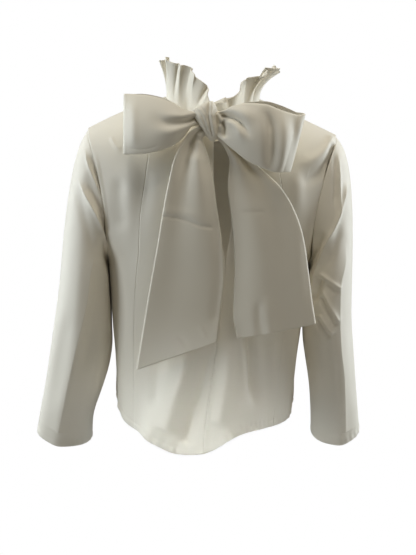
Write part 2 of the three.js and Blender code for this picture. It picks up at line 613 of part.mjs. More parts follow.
// The sleeve's outer grid: rows from the armhole down to the cuff, columns round it from the underarm by the back.
function sleeveGrid(spots, rings, cap, side) {
  const count = spots.length;
  const start = spots.map(({ p, twin }) => (twin ? mix(p, twin.p, 0.5) : p.clone()));
  const centres = new THREE.CatmullRomCurve3(rings.map((r) => vec(((r.inner + r.outer) / 2) * side, r.y, r.z)));
  const ring = (t) => {
    const centre = centres.getPoint(t);
    const down = centres.getTangent(t);
    const back = vec(0, 1, 0).addScaledVector(down, -down.y).normalize();
    const out = down.clone().cross(back).multiplyScalar(side);
    const wide = (sample(rings, "z", centre.z, "outer") - sample(rings, "z", centre.z, "inner")) / 2;
    const deep = sample(rings, "z", centre.z, "deep");
    const pressed = smooth(-SLEEVE_CREASE.from, -SLEEVE_CREASE.full, -centre.z);
    return start.map((_, k) => {
      const part = k / count;
      const turn = (part * 360 + SLEEVE_CREASE.turn * Math.sin(part * Math.PI)) * THREE.MathUtils.DEG2RAD;
      const away = Math.abs(k - SLEEVE_CREASE.column);
      const crease = SLEEVE_CREASE.rise * pressed * (away === 0 ? 1 : away === 1 ? 0.25 : 0);
      const direction = out
        .clone()
        .multiplyScalar(-Math.cos(turn) * wide)
        .addScaledVector(back, Math.sin(turn) * deep);
      return centre.clone().add(direction).addScaledVector(direction.clone().normalize(), crease);
    });
  };
  const upper = ring(0);
  const down = centres.getTangent(0);
  const lowest = start[0].z;
  const highest = start[count / 2].z;
  const shoulder = vec(cap.out * side, 0, -cap.down);
  const grid = [start];
  for (let step = 1; step <= CAP_CELLS; step += 1) {
    const t = step / CAP_CELLS;
    grid.push(
      start.map((p, k) => {
        const high = ((p.z - lowest) / (highest - lowest)) ** 0.8;
        const reach = p.distanceTo(upper[k]);
        const leave = vec(9 * side, 0, -12).lerp(shoulder, high);
        leave.y = 6 * Math.sign(p.y - SEAM_Y) * Math.sin(Math.PI * high);
        const arrive = down.clone().multiplyScalar(-0.33 * reach);
        return cubic(p, p.clone().add(leave), upper[k].clone().add(arrive), upper[k], t);
      }),
    );
  }
  for (let step = 1; step <= SLEEVE_CELLS; step += 1) grid.push(ring(step / SLEEVE_CELLS));
  grid.forEach((row, i) =>
    row.forEach((p) => {
      if (i === 0 || p.z > lowest) return;
      const least = bodyReach(p.y, p.z) + SLEEVE_CLEAR * Math.min(1, i / 3);
      if (p.x * side < least) p.x = least * side;
    }),
  );
  return grid;
}

// Opens the armhole's gap: both edges share one wall direction and stand half a gap to each side of the seam.
function seatSleeve(spots, grid, normals) {
  const count = spots.length;
  const seam = grid[0].map((p) => p.clone());
  seam.forEach((p, k) => {
    const spot = spots[k];
    const bodyNormal = spot.twin ? spot.n.clone().add(spot.twin.n).normalize() : spot.n.clone();
    const normal = bodyNormal.add(normals[0][k]).normalize();
    const along = seam[(k + 1) % count].clone().sub(seam[(k + count - 1) % count]).normalize();
    normal.addScaledVector(along, -normal.dot(along)).normalize();
    const across = along.clone().cross(normal).normalize();
    if (across.dot(grid[1][k].clone().sub(p)) < 0) across.negate();
    grid[0][k].copy(p).addScaledVector(across, SEAM_GAP / 2);
    normals[0][k].copy(normal);
    for (const kept of [spot, spot.twin]) {
      if (!kept) continue;
      kept.p.addScaledVector(across, -SEAM_GAP / 2);
      kept.n.copy(normal);
    }
  });
}

const sleeves = {};
const ARMS = [
  ["left", 1, LEFT_RINGS, LEFT_CAP],
  ["right", -1, RIGHT_RINGS, RIGHT_CAP],
];
for (const [name, side, rings, cap] of ARMS) {
  const spots = armhole(name, side);
  const grid = sleeveGrid(spots, rings, cap, side);
  const normals = normalsOf(grid, true, side);
  seatSleeve(spots, grid, normals);
  sleeves[name] = wall(grid, normals, WALL, true);
}

// The tie round the neck

// The body's neckline as a list of edge points from the centre back round the wearer's left, each with its wall
// direction.
function necklineSpots() {
  const backNeck = backShares.indexOf(NECK_SHARE);
  const frontNeck = Math.round(NECK_SHARE * FRONT_HALF_CELLS);
  const spots = [];
  for (let j = 0; j <= backNeck; j += 1) spots.push([backs.left, backNormals.left, topRow, j]);
  for (let k = frontNeck - 1; k >= -frontNeck + 1; k -= 1) {
    spots.push([front, frontNormals, topRow, FRONT_HALF_CELLS + k]);
  }
  for (let j = backNeck; j >= 0; j -= 1) spots.push([backs.right, backNormals.right, topRow, j]);
  return spots.map(([grid, normals, i, j]) => ({ p: grid[i][j], n: normals[i][j] }));
}

// The collar's outer grid: rows from its foot to its top edge.
function collarGrid(neckline) {
  const stations = COLLAR_STATIONS.map(({ at, on, foot, top }) => ({
    at,
    on,
    footX: foot[0],
    footY: foot[1],
    footZ: foot[2],
    topX: top[0],
    topY: top[1],
    topZ: top[2],
  }));
  const read = (at, name) => sample(stations, "at", at, name);
  const footAt = (at) => vec(read(at, "footX"), read(at, "footY"), read(at, "footZ"));
  const columns = COLLAR.waves * COLLAR.cellsPerWave;
  const grid = Array.from({ length: COLLAR.rows + 1 }, () => []);
  for (let k = 0; k <= columns; k += 1) {
    const at = k / columns;
    const seat = nearestOn(neckline, footAt(at));
    const sewn = smooth(0, 1, read(at, "on"));
    const foot = mix(footAt(at), seat.p.clone().addScaledVector(seat.rise, SEAM_GAP + 0.15), sewn);
    const top = vec(read(at, "topX"), read(at, "topY"), read(at, "topZ"));
    const along = footAt(at + 0.01).sub(footAt(at - 0.01)).normalize();
    const upward = top.clone().sub(foot).normalize();
    const outward = upward.clone().cross(along).normalize();
    const calm = smooth(0, COLLAR.ends, at) * smooth(0, COLLAR.ends, 1 - at);
    const phase = 2 * Math.PI * COLLAR.waves * at;
    const uneven = 0.75 + 0.25 * Math.sin(phase / 3.7 + 1);
    for (let i = 0; i <= COLLAR.rows; i += 1) {
      const up = i / COLLAR.rows;
      const swing = (COLLAR.footSwing * up + (COLLAR.swing - COLLAR.footSwing) * up * up) * calm * uneven;
      const p = mix(foot, top, up);
      p.addScaledVector(vec(top.x - foot.x, top.y - foot.y, 0), (up ** COLLAR.flare - up) * sewn);
      p.addScaledVector(outward, Math.sin(phase + 0.9 * Math.sin(phase / 2.3)) * swing);
      p.addScaledVector(along, 0.45 * Math.cos(phase) * swing);
      p.addScaledVector(upward, up * calm * COLLAR.edge * Math.sin(phase / 1.9 + 2));
      grid[i].push(p);
    }
  }
  return grid;
}

// The nearest point of the neckline's edge, and which way is up off that edge.
function nearestOn(neckline, free) {
  let best = null;
  for (let k = 0; k < neckline.length - 1; k += 1) {
    const [a, b] = [neckline[k], neckline[k + 1]];
    const segment = new THREE.Line3(a.p, b.p);
    const t = segment.closestPointToPointParameter(free, true);
    const p = mix(a.p, b.p, t);
    const distance = p.distanceTo(free);
    if (!best || distance < best.distance) {
      const rise = mix(a.n, b.n, t).cross(b.p.clone().sub(a.p)).normalize();
      if (rise.x * p.x + rise.y * p.y > 0) rise.negate();
      best = { p, distance, rise };
    }
  }
  return best;
}

const collar = collarGrid(necklineSpots());

// The knot

// A leaning barrel of ridged cloth, grown by extra all round for cutting the pieces that run into it.
function knot(extra) {
  const { around, down, ridges, ridge, y } = KNOT_SHAPE;
  const foot = KNOT[0].z;
  const height = KNOT[KNOT.length - 1].z - foot;
  const points = [];
  for (let i = 0; i <= down; i += 1) {
    const z = foot + height * (0.5 - 0.5 * Math.cos((Math.PI * i) / down));
    const left = sample(KNOT, "z", z, "left");
    const right = sample(KNOT, "z", z, "right");
    const deep = sample(KNOT, "z", z, "deep") + extra;
    const half = (left - right) / 2 + extra;
    const grown = z + extra * ((2 * (z - foot)) / height - 1);
    for (let j = 0; j < around; j += 1) {
      const turn = (2 * Math.PI * j) / around;
      const ridged = 1 + ridge * Math.cos(ridges * turn + i * 0.25);
      points.push(
        vec((left + right) / 2 + Math.cos(turn) * half * ridged, y + Math.sin(turn) * deep * ridged, grown),
      );
    }
  }
  points.push(vec(0, y, foot - extra).setX((KNOT[0].left + KNOT[0].right) / 2));
  const last = KNOT[KNOT.length - 1];
  points.push(vec((last.left + last.right) / 2, y, foot + height + extra));
  const triangles = [];
  const at = (i, j) => i * around + (j % around);
  const [low, high] = [points.length - 2, points.length - 1];
  for (let j = 0; j < around; j += 1) {
    for (let i = 0; i < down; i += 1) {
      triangles.push(at(i, j), at(i, j + 1), at(i + 1, j + 1), at(i, j), at(i + 1, j + 1), at(i + 1, j));
    }
    triangles.push(low, at(0, j + 1), at(0, j), high, at(down, j), at(down, j + 1));
  }
  return facingOut(points, triangles);
}

// The bow

// A ribbon's wall, centred on its grid.
function ribbon(grid) {
  const normals = normalsOf(grid, false, 1);
  const half = TIE_WALL / 2;
  const outer = grid.map((row, i) => row.map((p, j) => p.clone().addScaledVector(normals[i][j], half)));
  return wall(outer, normals, TIE_WALL);
}

// One loop: the near layer runs out from the knot, turns at the end and comes back as the far layer.
function loopGrid(table) {
  const side = Math.sign(table[table.length - 1].xTop);
  const start = table[0].out;
  const end = table[table.length - 1].out;
  const tip = end + table[table.length - 1].apart / 2;
  const read = (out, name) => sample(table, "out", out, name);
  const pace = (tip - start) / (1 - LOOP.turn + (2 * LOOP.turn) / Math.PI);
  const round = (2 * LOOP.turn * pace) / Math.PI;
  return Array.from({ length: LOOP.cells + 1 }, (_, i) => {
    const fromTip = Math.abs(1 - (2 * i) / LOOP.cells);
    const angle = (Math.min(1, fromTip / LOOP.turn) * Math.PI) / 2;
    const out = tip - round * (1 - Math.cos(angle)) - pace * Math.max(0, fromTip - LOOP.turn);
    const far = (1 - Math.sin(angle) * Math.sign(LOOP.cells - 2 * i)) / 2;
    const top = vec(read(out, "xTop"), read(out, "yTop"), read(out, "zTop"));
    const foot = vec(read(out, "xFoot"), read(out, "yFoot"), read(out, "zFoot"));
    return Array.from({ length: LOOP.across + 1 }, (__, j) => {
      const v = j / LOOP.across;
      const p = mix(top, foot, v);
      const swell = 4 * v * (1 - v) * LOOP.bulge * smooth(start, start + 40, out);
      p.x += side * Math.max(0, out - end);
      p.y += swell * (1 - 2 * far) - read(out, "apart") * far;
      p.z += read(out, "lift") * far * (1 - v);
      return p;
    });
  });
}

// One hanging end: rows from the knot to the slanting end, columns from its outer edge to its inner one.
function tailGrid(table) {
  const last = table[table.length - 1].down;
  const read = (down, name) => sample(table, "down", down, name);
  return Array.from({ length: TAIL.cells + 1 }, (_, i) => {
    const down = last * (i / TAIL.cells) ** 1.15;
    const outer = vec(read(down, "xOut"), read(down, "yOut"), read(down, "zOut"));
    const inner = vec(read(down, "xIn"), read(down, "yIn"), read(down, "zIn"));
    return Array.from({ length: TAIL.across + 1 }, (__, j) => {
      const v = j / TAIL.across;
      const p = mix(outer, inner, v);
      p.y -= read(down, "gather") * (1 - Math.cos(2 * Math.PI * TAIL.folds * v)) * 0.5;
      return p;
    });
  });
}

// The pieces, with their colours

const ivory = () => new THREE.MeshStandardMaterial({ color: 0xe9e3d2, roughness: 0.62, metalness: 0 });
const tieIvory = () => new THREE.MeshStandardMaterial({ color: 0xe4ddca, roughness: 0.55, metalness: 0 });

const blouse = new THREE.Group();

function add(name, geometry, material) {
  const mesh = new THREE.Mesh(geometry, material);
  mesh.name = name;
  blouse.add(mesh);
}

for (const name of ["left", "right"]) {
  const seam = CENTRE_BACK_CELLS;
  const grid = backs[name];
  const normals = backNormals[name];
  const centreGrid = grid.map((row) => row.slice(0, seam + 1).map((p) => p.clone()));
  const sideGrid = grid.map((row) => row.slice(seam).map((p) => p.clone()));
  centreGrid.forEach((row) => pull(row[seam], row[seam - 1]));
  sideGrid.forEach((row) => pull(row[0], row[1]));
  add(`back_${name}`, wall(centreGrid, normals.map((row) => row.slice(0, seam + 1)), WALL), ivory());
  add(`side_back_${name}`, wall(sideGrid, normals.map((row) => row.slice(seam)), WALL), ivory());
}
add("front", wall(front, frontNormals, WALL), ivory());
add("sleeve_left", sleeves.left, ivory());
add("sleeve_right", sleeves.right, ivory());

const knotCutter = knot(KNOT_GAP);
add("neck_tie", cutBy(wall(collar, normalsOf(collar, false, -1), TIE_WALL), knotCutter), tieIvory());
add("knot", knot(0), tieIvory());
add("loop_left", cutBy(ribbon(loopGrid(LEFT_LOOP)), knotCutter), tieIvory());
add("loop_right", cutBy(ribbon(loopGrid(RIGHT_LOOP)), knotCutter), tieIvory());
add("tail_left", cutBy(ribbon(tailGrid(LEFT_TAIL)), knotCutter), tieIvory());
add("tail_right", cutBy(ribbon(tailGrid(RIGHT_TAIL)), knotCutter), tieIvory());

export default blouse;
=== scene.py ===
"""An ivory crepe blouse with a tie collar that is knotted in a big bow behind the neck, dressed in its cloth.

Metres, +Z up. The wearer faces -Y and the wearer's left is +X. Tables and folds are in millimetres.
"""

import math

import bmesh
import bpy
import numpy as np
from mathutils import Matrix, Vector
from mathutils.kdtree import KDTree


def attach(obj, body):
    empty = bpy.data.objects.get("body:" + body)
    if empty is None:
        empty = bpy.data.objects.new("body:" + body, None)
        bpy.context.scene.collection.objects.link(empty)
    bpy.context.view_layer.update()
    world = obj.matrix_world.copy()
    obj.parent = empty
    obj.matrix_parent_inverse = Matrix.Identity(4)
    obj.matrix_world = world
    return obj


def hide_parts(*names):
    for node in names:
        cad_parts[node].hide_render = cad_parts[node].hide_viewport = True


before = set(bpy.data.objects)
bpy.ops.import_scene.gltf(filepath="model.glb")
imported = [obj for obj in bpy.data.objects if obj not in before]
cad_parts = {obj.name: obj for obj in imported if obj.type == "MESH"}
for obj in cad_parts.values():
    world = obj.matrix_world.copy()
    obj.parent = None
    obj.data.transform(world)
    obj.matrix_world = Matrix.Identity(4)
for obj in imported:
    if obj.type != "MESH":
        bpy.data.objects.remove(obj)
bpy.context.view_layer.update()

MM = 0.001
BODY_WALL = 1.2
TIE_WALL = 1.6
SEAM_HALF_GAP = 0.2


# Meshes and their points


def spots_of(mesh):
    """The mesh's points, in millimetres, one row each."""
    flat = np.empty(len(mesh.vertices) * 3, np.float32)
    mesh.vertices.foreach_get("co", flat)
    return flat.reshape(-1, 3).astype(float) / MM


def normals_of(mesh):
    """The direction that the surface faces at each of the mesh's points."""
    flat = np.empty(len(mesh.vertices) * 3, np.float32)
    mesh.vertices.foreach_get("normal", flat)
    return flat.reshape(-1, 3).astype(float)


def put_spots(mesh, spots):
    """Moves the mesh's points to the given ones, in millimetres."""
    mesh.vertices.foreach_set("co", (spots * MM).astype(np.float32).ravel())
    mesh.update()


def shown(name, bm):
    """A new object in the scene from a bmesh."""
    mesh = bpy.data.meshes.new(name)
    bm.to_mesh(mesh)
    bm.free()
    piece = bpy.data.objects.new(name, mesh)
    bpy.context.scene.collection.objects.link(piece)
    return piece


def settle(piece):
    """Applies every modifier, so that what is left is plain mesh."""
    bpy.context.view_layer.update()
    ready = piece.evaluated_get(bpy.context.evaluated_depsgraph_get())
    mesh = bpy.data.meshes.new_from_object(ready)
    piece.modifiers.clear()
    old = piece.data
    piece.data = mesh
    bpy.data.meshes.remove(old)


def refine(piece, levels):
    """Rounds the mesh with that many levels of subdivision."""
    rounding = piece.modifiers.new("rounding", "SUBSURF")
    rounding.levels = levels
    rounding.render_levels = levels
    rounding.boundary_smooth = "PRESERVE_CORNERS"
    settle(piece)


def thicken(piece, wall, offset):
    """Gives the cloth its thickness. An offset of -1 keeps the outer face where it is."""
    cloth = piece.modifiers.new("cloth", "SOLIDIFY")
    cloth.thickness = wall * MM
    cloth.offset = offset
    cloth.use_even_offset = False
    cloth.use_rim = True
    settle(piece)


def smooth_faces(piece):
    for face in piece.data.polygons:
        face.use_smooth = True


# Curves through tables


def blend(low, high, at):
    """Rises smoothly from 0 at low to 1 at high."""
    share = np.clip((at - low) / (high - low), 0, 1)
    return share * share * (3 - 2 * share)


def curve(xs, ys, at):
    """A smooth curve through points that never overshoots them."""
    xs = np.asarray(xs, float)
    ys = np.asarray(ys, float)
    at = np.clip(at, xs[0], xs[-1])
    slopes = np.diff(ys) / np.diff(xs)
    tangents = np.empty_like(ys)
    tangents[0] = slopes[0]
    tangents[-1] = slopes[-1]
    product = slopes[:-1] * slopes[1:]
    total = slopes[:-1] + slopes[1:]
    tangents[1:-1] = np.where(product > 0, 2 * product / np.where(product > 0, total, 1), 0)
    i = np.clip(np.searchsorted(xs, at, side="right") - 1, 0, len(xs) - 2)
    span = xs[i + 1] - xs[i]
    t = (at - xs[i]) / span
    return (
        ys[i] * (2 * t**3 - 3 * t**2 + 1)
        + ys[i + 1] * (3 * t**2 - 2 * t**3)
        + span * (tangents[i] * (t**3 - 2 * t**2 + t) + tangents[i + 1] * (t**3 - t**2))
    )


def read(table, at, column):
    """One column of a table whose first column is the key."""
    return curve(table[next(iter(table))], table[column], at)


# Folds that are pressed into the cloth


def fold(x, z, path, width, depth, lean=0.0, ends=(0.25, 0.25), edge=2.0):
    """How far one fold lifts the cloth at the points x and z.

    path is the fold's line, width its half width at the start and the end, and depth is over 0 for a ridge.
    lean moves its lift to the left of the line, seen along it, and ends are the shares over which it fades in and out.
    edge is 2 for a soft fold and 1 for one with a sharp line.
    """
    steps = np.linspace(0, len(path) - 1, 6 * len(path))
    knots = np.arange(len(path))
    line_x = curve(knots, [p[0] for p in path], steps)
    line_z = curve(knots, [p[1] for p in path], steps)
    lengths = np.hypot(np.diff(line_x), np.diff(line_z))
    runs = np.concatenate([[0], np.cumsum(lengths)])
    nearest = np.full(x.shape, 1e9)
    side = np.zeros(x.shape)
    share = np.zeros(x.shape)
    for k, length in enumerate(lengths):
        dx = (line_x[k + 1] - line_x[k]) / length
        dz = (line_z[k + 1] - line_z[k]) / length
        along = np.clip((x - line_x[k]) * dx + (z - line_z[k]) * dz, 0, length)
        off_x = x - line_x[k] - along * dx
        off_z = z - line_z[k] - along * dz
        away = np.hypot(off_x, off_z)
        closer = away < nearest
        nearest = np.where(closer, away, nearest)
        side = np.where(closer, np.sign(dx * off_z - dz * off_x), side)
        share = np.where(closer, (runs[k] + along) / runs[-1], share)
    fade = blend(0, ends[0], share) * blend(0, ends[1], 1 - share)
    across = nearest / (width[0] + (width[1] - width[0]) * share)
    return depth * fade * (1 + lean * across * side) * np.exp(-(across**edge))


def press(piece, folds, face=1):
    """Presses the folds into the side of a piece that faces the back (face 1) or the front (face -1)."""
    mesh = piece.data
    spots = spots_of(mesh)
    normals = normals_of(mesh)
    facing = blend(0.05, 0.5, normals[:, 1] * face)
    touched = facing > 0
    lift = np.zeros(len(spots))
    for one in folds:
        lift[touched] += fold(spots[touched, 0], spots[touched, 2], **one)
    put_spots(mesh, spots + normals * (lift * facing)[:, None])


# The body and the sleeves, from the outer faces of their solids

RIM_EDGE = 1.7  # an edge shorter than this crosses the wall's rim


def outer_cloth(node, reference):
    """The outer face of a node's wall, as a quad mesh. reference gives a point inside for a point on it."""
    bm = bmesh.new()
    bm.from_mesh(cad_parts[node].data)
    bmesh.ops.remove_doubles(bm, verts=bm.verts, dist=0.02 * MM)
    rim = [face for face in bm.faces if min(edge.calc_length() for edge in face.edges) < RIM_EDGE * MM]
    bmesh.ops.delete(bm, geom=rim, context="FACES_ONLY")
    inner = [face for face in bm.faces if face.normal.dot(face.calc_center_median() - reference(face)) < 0]
    islands = islands_of(bm)
    inner = set(inner)
    doomed = [face for island in islands if sum(f in inner for f in island) > len(island) / 2 for face in island]
    bmesh.ops.delete(bm, geom=doomed, context="FACES")
    bmesh.ops.delete(bm, geom=[v for v in bm.verts if not v.link_faces], context="VERTS")
    bmesh.ops.join_triangles(
        bm,
        faces=bm.faces,
        angle_face_threshold=math.radians(60),
        angle_shape_threshold=math.radians(80),
    )
    return bm


def islands_of(bm):
    """The faces of each connected part."""
    left = set(bm.faces)
    islands = []
    while left:
        start = left.pop()
        island = [start]
        queue = [start]
        while queue:
            face = queue.pop()
            for edge in face.edges:
                for other in edge.link_faces:
                    if other in left:
                        left.discard(other)
                        island.append(other)
                        queue.append(other)
        islands.append(island)
    return islands


def close_seams(bm):
    """Moves the border of the cloth outwards by half a seam's gap, so that sewn pieces meet."""
    moves = {}
    for edge in bm.edges:
        if len(edge.link_faces) != 1:
            continue
        face = edge.link_faces[0]
        along = (edge.verts[1].co - edge.verts[0].co).normalized()
        away = (edge.verts[0].co + edge.verts[1].co) / 2 - face.calc_center_median()
        away -= along * away.dot(along)
        away -= face.normal * away.dot(face.normal)
        for vert in edge.verts:
            moves.setdefault(vert, []).append(away.normalized())
    for vert, ways in moves.items():
        vert.co += sum(ways, Vector()) / len(ways) * SEAM_HALF_GAP * MM


def sewn_piece(node, reference, levels):
    """A piece of the body or a sleeve, without its folds and thickness."""
    bm = outer_cloth(node, reference)
    close_seams(bm)
    piece = shown(node + "_cloth", bm)
    refine(piece, levels)
    return piece


def body_inside(face):
    centre = face.calc_center_median()
    return Vector((centre.x * 0.3, 0, centre.z))


def sleeve_inside(side):
    middle = [(-0.11, 0.19, 0.0), (-0.3, 0.198, 0.003), (-0.42, 0.208, 0.0), (-0.56, 0.235, -0.04)]

    def inside(face):
        z = face.calc_center_median().z
        heights = [-row[0] for row in middle]
        x = float(curve(heights, [row[1] for row in middle], -z))
        y = float(curve(heights, [row[2] for row in middle], -z))
        return Vector((side * x, y, z))

    return inside


BACK_PRESSES = [
    # the lower back
    dict(path=[(22, -360), (40, -440), (60, -515)], width=(9, 14), depth=5.5, ends=(0.3, 0.05)),
    dict(path=[(-9, -365), (4, -436), (20, -490), (30, -535)], width=(7, 9), depth=-6.0, ends=(0.3, 0.05), edge=1.6),
    dict(path=[(72, -380), (80, -435), (84, -490)], width=(18, 9), depth=-5.5, ends=(0.4, 0.3)),
    dict(path=[(-38, -346), (-34, -425), (-22, -505)], width=(10, 13), depth=7.0, ends=(0.3, 0.1)),
    dict(path=[(-60, -330), (-72, -400), (-83, -480)], width=(10, 8), depth=-12.0, ends=(0.3, 0.25)),
    dict(path=[(-84, -335), (-92, -400), (-98, -480)], width=(13, 10), depth=-3.0, ends=(0.3, 0.3)),
    dict(path=[(-107, -340), (-109, -420), (-112, -490)], width=(8, 8), depth=3.0),
    # the left yoke and blade
    dict(path=[(104, -84), (101, -120), (108, -170), (116, -240)], width=(11, 16), depth=-3.6, ends=(0.3, 0.7)),
    dict(path=[(126, -70), (126, -112), (130, -170)], width=(13, 15), depth=1.8, ends=(0.4, 0.5)),
    dict(path=[(142, -110), (143, -149), (138, -205)], width=(11, 12), depth=-2.8),
    dict(path=[(160, -52), (150, -66), (140, -74)], width=(3, 4), depth=1.4),
    # the right yoke and blade
    dict(path=[(-194, -54), (-184, -82), (-168, -102), (-152, -110), (-136, -98)], width=(5, 12), depth=-5.6,
         ends=(0.08, 0.4)),
    dict(path=[(-193, -42), (-176, -68), (-150, -82), (-124, -80)], width=(5, 12), depth=4.6, ends=(0.08, 0.5)),
    dict(path=[(-134, -92), (-137, -132), (-141, -180)], width=(9, 12), depth=2.8, ends=(0.3, 0.5)),
    dict(path=[(-169, -184), (-186, -199)], width=(1.9, 1.9), depth=1.3),
    dict(path=[(-172, -176), (-187, -190)], width=(1.9, 1.9), depth=1.3),
    dict(path=[(-168, -197), (-184, -209)], width=(1.9, 1.9), depth=1.2),
    dict(path=[(-160, -190), (-156, -235), (-152, -290)], width=(10, 12), depth=-2.6),
]
FRONT_PRESSES = [
    dict(path=[(40, -270), (30, -360), (26, -520)], width=(9, 15), depth=-3.5, ends=(0.4, 0.1)),
    dict(path=[(-52, -280), (-46, -380), (-40, -520)], width=(9, 15), depth=-3.2, ends=(0.4, 0.1)),
    dict(path=[(96, -300), (98, -400), (92, -500)], width=(8, 14), depth=3.2, ends=(0.4, 0.1)),
    dict(path=[(-100, -290), (-96, -400), (-100, -500)], width=(8, 14), depth=3.0, ends=(0.4, 0.1)),
    dict(path=[(140, -120), (120, -160), (96, -190)], width=(6, 10), depth=2.4, ends=(0.2, 0.5)),
    dict(path=[(-142, -124), (-124, -160), (-98, -196)], width=(6, 10), depth=2.6, ends=(0.2, 0.5)),
    dict(path=[(146, -140), (132, -176), (112, -210)], width=(6, 10), depth=-2.6, ends=(0.2, 0.5)),
    dict(path=[(-146, -146), (-130, -184), (-110, -214)], width=(6, 10), depth=-2.4, ends=(0.2, 0.5)),
]
LEFT_SLEEVE_PRESSES = [
    dict(path=[(201, -72), (194, -96), (185, -117), (171, -147)], width=(3, 3), depth=3.0, edge=1.3),
    dict(path=[(191, -80), (180, -112), (168, -146)], width=(4, 4), depth=-3.4),
    dict(path=[(212, -118), (197, -144), (186, -163), (171, -198), (161, -247)], width=(4, 3), depth=5.0,
         ends=(0.25, 0.06), edge=1.3),
    dict(path=[(201, -116), (181, -150), (167, -188), (160, -226)], width=(6, 4), depth=-4.6, ends=(0.3, 0.15)),
    dict(path=[(216, -128), (202, -166), (189, -208), (182, -240)], width=(9, 8), depth=-2.6),
    dict(path=[(180, -232), (187, -268), (192, -314), (210, -397), (227, -472), (244, -552)], width=(8, 10),
         depth=3.8, ends=(0.08, 0.01), edge=1.0),
    dict(path=[(174, -250), (174, -290), (182, -350), (200, -450)], width=(8, 13), depth=-3.4),
    dict(path=[(222, -330), (236, -400), (262, -520)], width=(12, 16), depth=-2.0),
]
RIGHT_SLEEVE_PRESSES = [
    dict(path=[(-200, -66), (-203, -111), (-204, -156), (-196, -192)], width=(3, 3), depth=3.4, edge=1.3),
    dict(path=[(-195, -66), (-197, -111), (-197, -158)], width=(4, 4), depth=-3.2),
    dict(path=[(-218, -108), (-211, -139), (-203, -164), (-195, -190), (-188, -204), (-181, -222), (-172, -261),
               (-166, -300)], width=(4, 4), depth=5.0, ends=(0.15, 0.06), edge=1.3),
    dict(path=[(-181, -190), (-172, -225), (-163, -265)], width=(7, 7), depth=-5.0),
    dict(path=[(-208, -180), (-202, -204), (-192, -236), (-186, -256)], width=(6, 6), depth=-2.0),
    dict(path=[(-176, -258), (-193, -270), (-211, -284)], width=(3.5, 3.5), depth=3.4, ends=(0.15, 0.1), edge=1.3),
    dict(path=[(-184, -272), (-194, -281), (-207, -292)], width=(5, 5), depth=-2.6),
    dict(path=[(-180, -266), (-174, -287), (-170, -310)], width=(5, 5), depth=-6.0, ends=(0.1, 0.2)),
    dict(path=[(-217, -200), (-218, -237), (-210, -281), (-211, -322), (-216, -380), (-225, -430), (-237, -538)],
         width=(9, 10), depth=3.4, ends=(0.2, 0.01), edge=1.0),
    dict(path=[(-182, -284), (-196, -312), (-211, -340)], width=(3.5, 3.5), depth=3.2, ends=(0.15, 0.15), edge=1.3),
    dict(path=[(-180, -296), (-192, -320), (-206, -346)], width=(4, 4), depth=-3.4, ends=(0.1, 0.1)),
    dict(path=[(-180, -326), (-190, -340), (-203, -358)], width=(3.2, 3.2), depth=3.2, ends=(0.1, 0.1), edge=1.3),
    dict(path=[(-175, -332), (-186, -349), (-198, -366)], width=(4, 5), depth=-3.0, ends=(0.1, 0.2)),
    dict(path=[(-192, -350), (-200, -420), (-212, -500)], width=(10, 12), depth=-3.0),
    dict(path=[(-232, -320), (-242, -400), (-256, -500)], width=(10, 12), depth=-1.6),
]
# The sewn lines that stand up: where the centre seam and the armholes are pressed to one side
SEAM_PRESSES = {
    "back_right": [
        dict(path=[(-17, -340), (-14, -400), (-9, -450), (-2, -545)], width=(2, 2), depth=1.3, ends=(0.1, 0.01)),
        dict(path=[(-24, -74), (-29, -117), (-34, -170), (-36, -203)], width=(2.5, 3), depth=1.8),
    ],
    "side_back_left": [
        dict(path=[(185, -72), (174, -116), (165, -163), (161, -214)], width=(2.4, 2.4), depth=1.6),
    ],
    "side_back_right": [
        dict(path=[(-190, -76), (-187, -121), (-188, -156), (-190, -187)], width=(2.4, 2.4), depth=1.6),
    ],
}

NARROW = 4.5  # a fold no wider than this needs closer points


def densify(piece, folds):
    """Adds points beside the narrow folds of a piece, on the side that faces the back."""
    bm = bmesh.new()
    bm.from_mesh(piece.data)
    bm.normal_update()
    faces = [face for face in bm.faces if face.normal.y > 0]
    centres = np.array([face.calc_center_median() for face in faces]) / MM
    reach = np.zeros(len(faces))
    for one in folds:
        if max(one["width"]) <= NARROW or one.get("edge", 2) <= 1:
            near = dict(one, depth=1.0, width=(7, 7), ends=(1e-6, 1e-6), edge=2)
            reach = np.maximum(reach, fold(centres[:, 0], centres[:, 2], **near))
    edges = {edge for face, close in zip(faces, reach > 0.3) if close for edge in face.edges}
    bmesh.ops.subdivide_edges(bm, edges=list(edges), cuts=1, use_grid_fill=True)
    bm.to_mesh(piece.data)
    bm.free()


HEM_BAND = 9.5
PUCKER = 12


def hem(piece, below, depth):
    """Turns up the lower edge in a narrow sewn band, whose thread puckers the cloth."""
    bm = bmesh.new()
    bm.from_mesh(piece.data)
    edge_points = []
    for edge in bm.edges:
        across = edge.verts[1].co - edge.verts[0].co
        if edge.is_boundary and abs(across.z) < 0.8 * across.length and edge.verts[0].co.z < below * MM:
            edge_points += [vert.co.copy() for vert in edge.verts]
    bm.free()
    tree = KDTree(len(edge_points))
    for k, point in enumerate(edge_points):
        tree.insert(point, k)
    tree.balance()
    mesh = piece.data
    spots = spots_of(mesh)
    low = np.nonzero(spots[:, 2] < below + 60)[0]
    found = [tree.find(Vector(spots[k] * MM)) for k in low]
    nearest = np.array([point for point, _, _ in found]) / MM
    away = np.array([distance for _, _, distance in found]) / MM
    along = nearest[:, 0] + 0.7 * nearest[:, 1]
    uneven = 0.6 + 0.4 * np.sin(along / 23 + 1)
    wave = np.sin(2 * math.pi * along / PUCKER + 2 * np.sin(along / 29)) * uneven
    lift = 0.45 * blend(HEM_BAND + 0.8, HEM_BAND - 0.8, away)
    lift -= 0.6 * np.exp(-(((away - HEM_BAND) / 1.2) ** 2))
    lift += depth * wave * np.exp(-((away / 15) ** 2))
    spots[low] += normals_of(mesh)[low] * lift[:, None]
    spots[low, 2] += 0.5 * depth * wave * np.exp(-((away / 4) ** 2))
    put_spots(mesh, spots)


